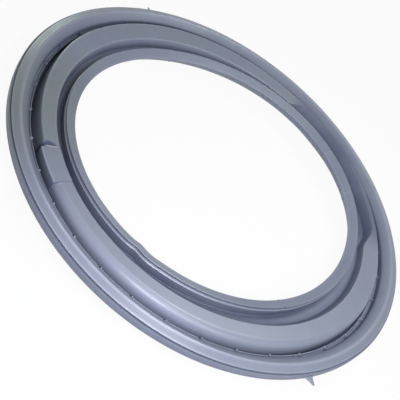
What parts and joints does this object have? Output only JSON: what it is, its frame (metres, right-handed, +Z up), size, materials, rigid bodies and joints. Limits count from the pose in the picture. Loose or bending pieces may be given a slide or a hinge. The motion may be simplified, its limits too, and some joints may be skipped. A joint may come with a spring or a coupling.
{
  "type": "washing machine door seal",
  "caption": "Round moulded rubber door seal: an outer clamping flange, a ribbed channel, a broad bellows hump with a fold, and a thin inner sealing lip.",
  "frame": {"origin": "centre of the flat base ring that the seal rests on", "axes": "+Z up along the ring's axis, towards the sealing lip's face; +X towards the shallow end of the hump's relief cut, a quarter turn clockwise from its steep end"},
  "size_m": [0.4036, 0.4036, 0.029],
  "materials": {
    "rubber": "satin moulded rubber, grey-blue"
  },
  "bodies": {
    "root": {"door_seal": "rubber"}
  },
  "joints": []
}
